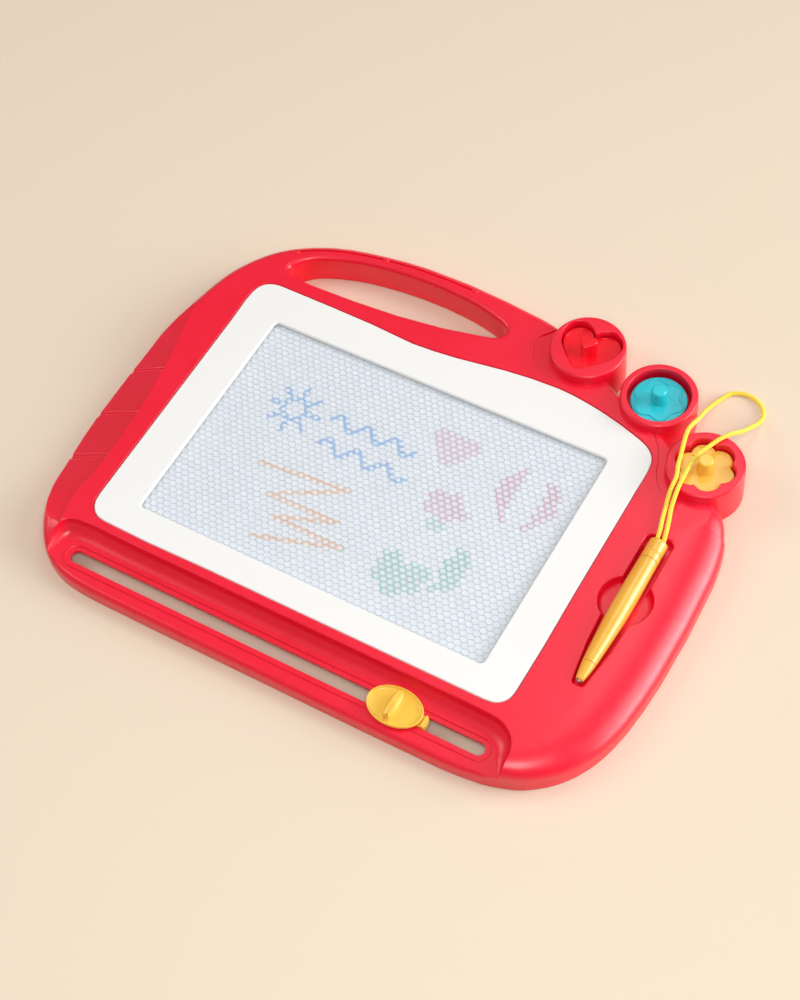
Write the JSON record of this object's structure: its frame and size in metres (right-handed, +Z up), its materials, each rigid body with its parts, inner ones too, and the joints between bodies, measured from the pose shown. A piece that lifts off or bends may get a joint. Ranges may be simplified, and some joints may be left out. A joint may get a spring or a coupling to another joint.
{
  "type": "kids drawing board",
  "caption": "Magnetic drawing board for children, with a carry handle, sliding eraser, pen on a cord, and shaped stamps in cups.",
  "frame": {"origin": "bottom centre of the board's bounding box, on the surface it lies on, without the free cord", "axes": "+X to the right along the board's long side, +Y from the eraser slot towards the handle, +Z up out of the screen"},
  "size_m": [0.3816, 0.3021, 0.032],
  "materials": {
    "red_shell": "moulded satin",
    "white_frame": "moulded satin",
    "clear_film": "clear film",
    "screen_cells": "hexagonal cells",
    "yellow_plastic": "glossy",
    "teal_plastic": "glossy",
    "ruby_plastic": "glossy",
    "magnet_strip": "bonded ferrite",
    "magnet_disc": "ferrite",
    "steel": "plain",
    "cord": "round braid"
  },
  "bodies": {
    "board": {"front_shell": "red_shell", "back_cover": "red_shell", "bezel": "white_frame", "screen_front_film": "clear_film", "screen_honeycomb": "screen_cells", "screen_back_film": "clear_film", "cover_screw_1": "steel", "cover_screw_2": "steel", "cover_screw_3": "steel", "cover_screw_4": "steel", "cover_screw_5": "steel", "cover_screw_6": "steel", "cover_screw_7": "steel", "cover_screw_8": "steel", "cover_screw_9": "steel"},
    "eraser": {"slider_knob": "yellow_plastic", "slider_carriage": "yellow_plastic", "eraser_arm": "white_frame", "eraser_magnet": "magnet_strip", "arm_screw_1": "steel", "arm_screw_2": "steel"},
    "pen": {"pen_cap": "yellow_plastic", "pen_barrel": "yellow_plastic", "pen_tip": "yellow_plastic", "pen_nib": "steel", "pen_cord": "cord"},
    "heart_stamp": {"stamp_heart": "ruby_plastic", "stamp_heart_magnet": "magnet_disc"},
    "round_stamp": {"stamp_round": "teal_plastic", "stamp_round_magnet": "magnet_disc"},
    "flower_stamp": {"stamp_flower": "yellow_plastic", "stamp_flower_magnet": "magnet_disc"}
  },
  "joints": [
    {"name": "eraser_slide", "type": "slide", "parent": "board", "child": "eraser", "axis": [1, 0, 0], "range_m": [-0.202, 0.032]},
    {"name": "pen_lift", "type": "slide", "parent": "board", "child": "pen", "axis": [0, 0, 1], "range_m": [0, 0.06]},
    {"name": "heart_lift", "type": "slide", "parent": "board", "child": "heart_stamp", "axis": [0, 0, 1], "range_m": [0, 0.04]},
    {"name": "round_lift", "type": "slide", "parent": "board", "child": "round_stamp", "axis": [0, 0, 1], "range_m": [0, 0.04]},
    {"name": "flower_lift", "type": "slide", "parent": "board", "child": "flower_stamp", "axis": [0, 0, 1], "range_m": [0, 0.04], "deforming": ["pen_cord"]}
  ]
}
